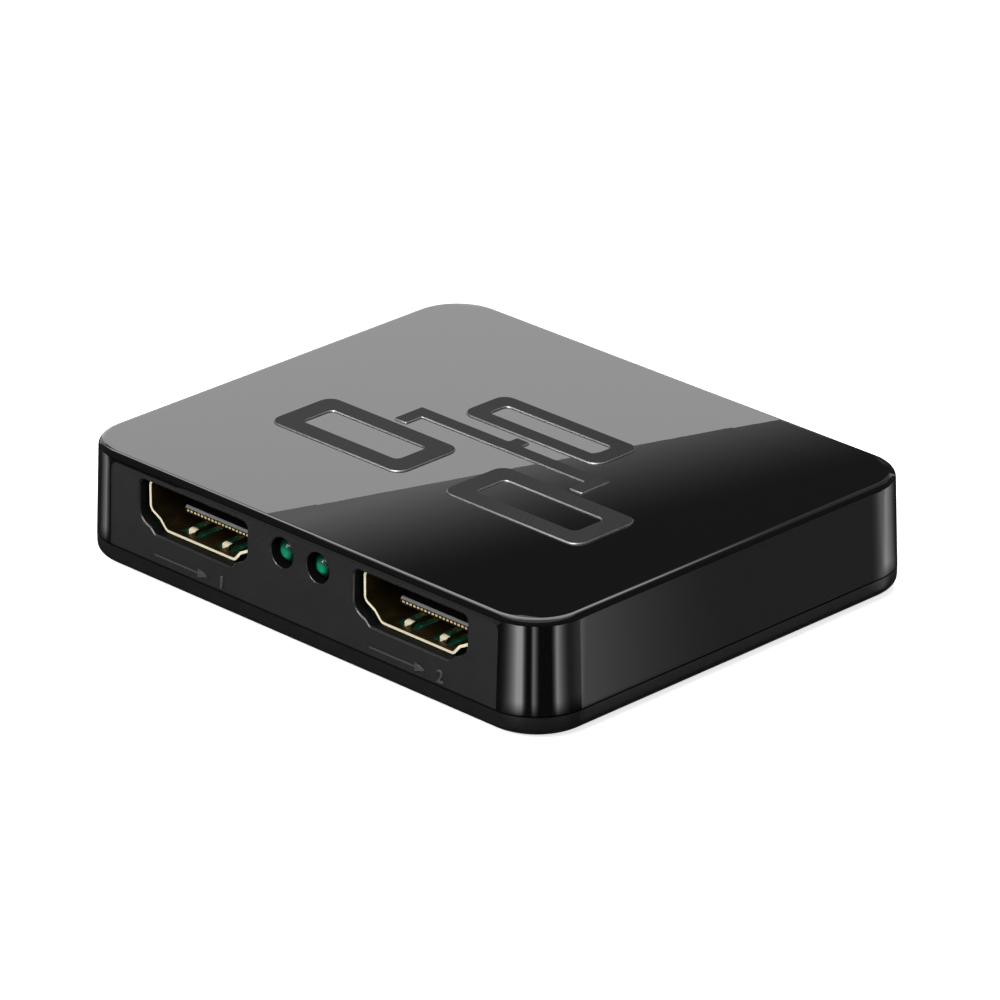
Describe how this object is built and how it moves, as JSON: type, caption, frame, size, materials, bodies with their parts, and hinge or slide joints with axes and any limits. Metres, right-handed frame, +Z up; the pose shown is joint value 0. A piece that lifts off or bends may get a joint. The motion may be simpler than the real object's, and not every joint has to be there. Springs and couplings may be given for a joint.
{
  "type": "video splitter box",
  "caption": "Flat black box with rounded corners that repeats a video input on a pair of output sockets, with green indicator lamps and a rear power socket.",
  "frame": {"origin": "middle of the underside", "axes": "+X along the output face, -Y out of the output face, +Z up"},
  "size_m": [0.065, 0.0538, 0.0122],
  "materials": {
    "gloss_case": "polished black moulding with matt end panels",
    "base_case": "satin black moulding",
    "gold_plate": "bright gold plating",
    "tin_plate": "bright tin plating",
    "screw_steel": "dark zinc plating",
    "socket_insulator": "moulded black",
    "board_mask": "green solder mask",
    "lamp_lens": "tinted clear resin",
    "chip_body": "moulded black resin",
    "can_metal": "drawn can",
    "ceramic_body": "fired ceramic",
    "fuse_body": "moulded green"
  },
  "bodies": {
    "root": {"top_cover": "gloss_case", "base_cover": "base_case", "case_screws": "screw_steel", "main_board": "board_mask", "output_1_shell": "gold_plate", "output_1_insulator": "socket_insulator", "output_1_contacts": "gold_plate", "output_2_shell": "gold_plate", "output_2_insulator": "socket_insulator", "output_2_contacts": "gold_plate", "input_shell": "gold_plate", "input_insulator": "socket_insulator", "input_contacts": "gold_plate", "power_shell": "tin_plate", "power_insulator": "socket_insulator", "power_contacts": "gold_plate", "led_1_lens": "lamp_lens", "led_1_leads": "tin_plate", "led_2_lens": "lamp_lens", "led_2_leads": "tin_plate", "splitter_chip": "chip_body", "splitter_chip_leads": "tin_plate", "memory_chip": "chip_body", "memory_chip_leads": "tin_plate", "regulators": "chip_body", "regulator_leads": "tin_plate", "crystal": "can_metal", "capacitor_cans": "can_metal", "capacitor_bases": "chip_body", "chip_capacitors": "ceramic_body", "chip_resistors": "chip_body", "chip_terminals": "tin_plate", "surge_arrays": "chip_body", "power_fuse": "fuse_body"}
  },
  "joints": []
}
